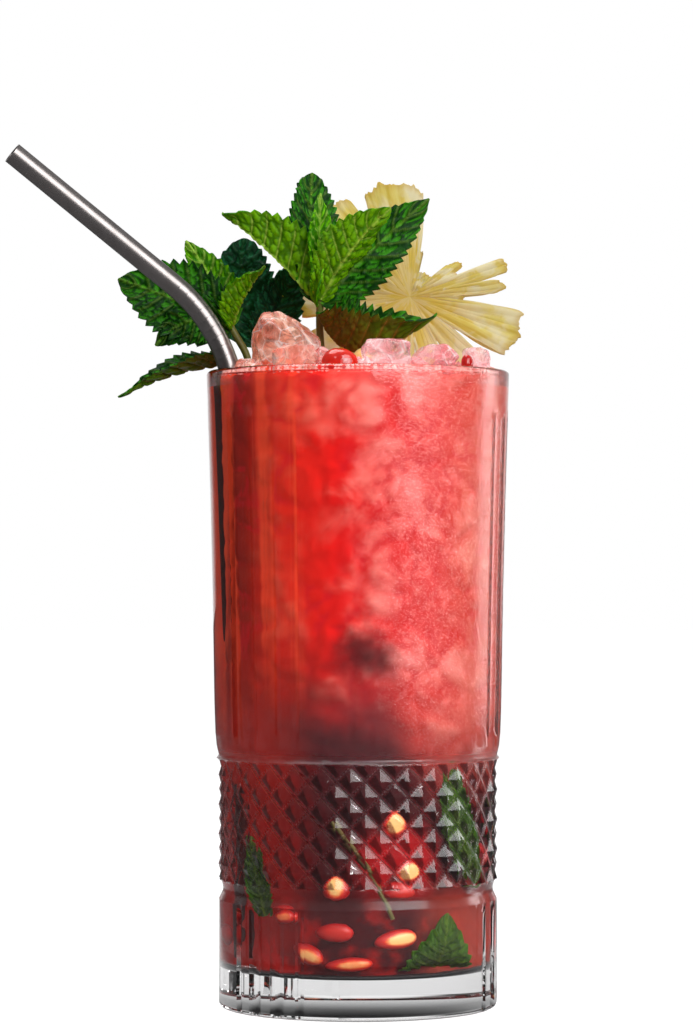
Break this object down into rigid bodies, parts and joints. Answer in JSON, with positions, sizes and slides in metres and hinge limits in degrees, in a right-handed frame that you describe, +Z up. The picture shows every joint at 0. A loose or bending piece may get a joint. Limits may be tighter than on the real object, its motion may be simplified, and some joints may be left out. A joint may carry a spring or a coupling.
{
  "type": "iced cocktail in a highball glass",
  "caption": "Tall cut glass of iced red hibiscus drink with a bent steel straw, mint sprigs, a dried pineapple wheel, ice chunks and pomegranate arils.",
  "frame": {"origin": "centre of the flat underside of the glass", "axes": "+Z up through the glass, -Y towards the front, +X to the right seen from the front, so the straw points to -X"},
  "size_m": [0.1256, 0.0744, 0.2095],
  "materials": {
    "clear_glass": "clear pressed glass, cut in a diamond band and three groups of flutes",
    "iced_drink": "cloudy red drink packed with crushed ice, darker and clearer at the foot",
    "polished_steel": "polished stainless steel",
    "mint": "fresh quilted mint leaf with pale veins",
    "dark_mint": "older dark quilted mint leaf",
    "dried_pineapple": "translucent dried pineapple with radial fibres",
    "ice": "wet frosted ice tinted pink by the drink",
    "aril": "wet glossy red fruit flesh",
    "pale_aril": "wet pale orange seed"
  },
  "bodies": {
    "root": {"glass": "clear_glass", "drink": "iced_drink", "straw": "polished_steel", "mint_sprig_front": "mint", "mint_sprig_left": "mint", "mint_sprig_back": "dark_mint", "pineapple_wheel": "dried_pineapple", "ice_1": "ice", "ice_2": "ice", "ice_3": "ice", "ice_4": "ice", "ice_5": "ice", "ice_6": "ice", "aril_large": "aril", "aril_pale": "pale_aril", "aril_small": "aril"}
  },
  "joints": []
}
